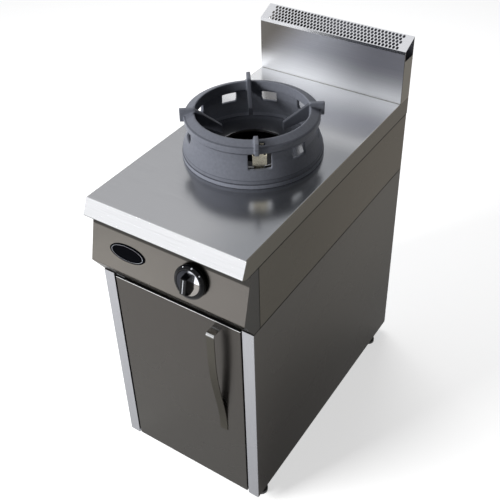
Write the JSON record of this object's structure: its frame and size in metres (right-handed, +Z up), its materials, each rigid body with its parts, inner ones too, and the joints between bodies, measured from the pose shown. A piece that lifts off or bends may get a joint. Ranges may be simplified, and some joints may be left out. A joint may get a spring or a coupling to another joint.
{
  "type": "gas wok range",
  "caption": "Gas wok range: cast wok ring over an open burner, raised flue, tilted control panel with a push-and-turn knob, and a cupboard stand with a hinged door on adjustable feet.",
  "frame": {"origin": "on the floor, under the middle of the whole range", "axes": "+Z up, the door and the knob face -Y"},
  "size_m": [0.4, 0.7946, 0.9595],
  "materials": {
    "worktop_steel": "satin",
    "panel_steel": "satin",
    "door_steel": "satin",
    "zinc_steel": "matte",
    "cast_iron": "matte",
    "brass": "satin",
    "chrome": "gloss",
    "aluminium": "satin",
    "black_plastic": "gloss",
    "nylon": "matte",
    "foot_plastic": "matte"
  },
  "bodies": {
    "cabinet": {"worktop": "worktop_steel", "control_panel": "panel_steel", "badge_plate": "black_plastic", "upper_side_right": "panel_steel", "upper_side_left": "panel_steel", "upper_back_panel": "zinc_steel", "drip_tray": "zinc_steel", "burner_rail_front": "zinc_steel", "burner_rail_rear": "zinc_steel", "burner_body": "cast_iron", "burner_cap": "cast_iron", "injector_holder": "brass", "burner_feed": "zinc_steel", "gas_rail": "zinc_steel", "tap_body": "brass", "tap_bonnet": "brass", "pilot_bracket": "worktop_steel", "pilot_burner": "brass", "thermocouple": "chrome", "pilot_tube": "aluminium", "thermocouple_lead": "brass", "flue_box": "worktop_steel", "flue_baffle": "worktop_steel", "flue_cap": "worktop_steel", "front_post_right": "worktop_steel", "front_post_left": "worktop_steel", "stand_side_right": "panel_steel", "stand_side_left": "panel_steel", "stand_back_panel": "zinc_steel", "cupboard_floor": "worktop_steel", "top_rail": "worktop_steel", "rear_rail": "zinc_steel", "hinge_plates": "zinc_steel", "hinge_pins": "chrome", "door_catch": "black_plastic", "foot_brackets": "zinc_steel"},
    "door": {"door_skin": "door_steel", "door_liner": "door_steel", "door_handle": "door_steel", "hinge_bushes": "nylon", "strike_plate": "zinc_steel"},
    "tap_cock": {"tap_plug": "brass"},
    "knob": {"control_knob": "black_plastic", "tap_spindle": "chrome"},
    "ring": {"wok_ring": "cast_iron"},
    "foot_fr": {"foot_front_right": "foot_plastic"},
    "foot_fl": {"foot_front_left": "foot_plastic"},
    "foot_rr": {"foot_rear_right": "foot_plastic"},
    "foot_rl": {"foot_rear_left": "foot_plastic"}
  },
  "joints": [
    {"name": "door_swing", "type": "hinge", "parent": "cabinet", "child": "door", "pos_m": [-0.16, -0.33142, 0.3095], "axis": [0, 0, -1], "range_deg": [0, 110]},
    {"name": "knob_turn", "type": "hinge", "parent": "cabinet", "child": "tap_cock", "pos_m": [0.067, -0.35685, 0.6914], "axis": [0, -0.9703, 0.2419], "range_deg": [0, 180]},
    {"name": "knob_push", "type": "slide", "parent": "tap_cock", "child": "knob", "axis": [0, 0.9703, -0.2419], "range_m": [0, 0.003], "stiffness_N_per_m": 600, "springref_m": -0.003},
    {"name": "ring_lift", "type": "slide", "parent": "cabinet", "child": "ring", "axis": [0, 0, 1], "range_m": [0, 0.15]},
    {"name": "foot_front_right_height", "type": "slide", "parent": "cabinet", "child": "foot_fr", "axis": [0, 0, -1], "range_m": [0, 0.02]},
    {"name": "foot_front_left_height", "type": "slide", "parent": "cabinet", "child": "foot_fl", "axis": [0, 0, -1], "range_m": [0, 0.02]},
    {"name": "foot_rear_right_height", "type": "slide", "parent": "cabinet", "child": "foot_rr", "axis": [0, 0, -1], "range_m": [0, 0.02]},
    {"name": "foot_rear_left_height", "type": "slide", "parent": "cabinet", "child": "foot_rl", "axis": [0, 0, -1], "range_m": [0, 0.02]}
  ]
}
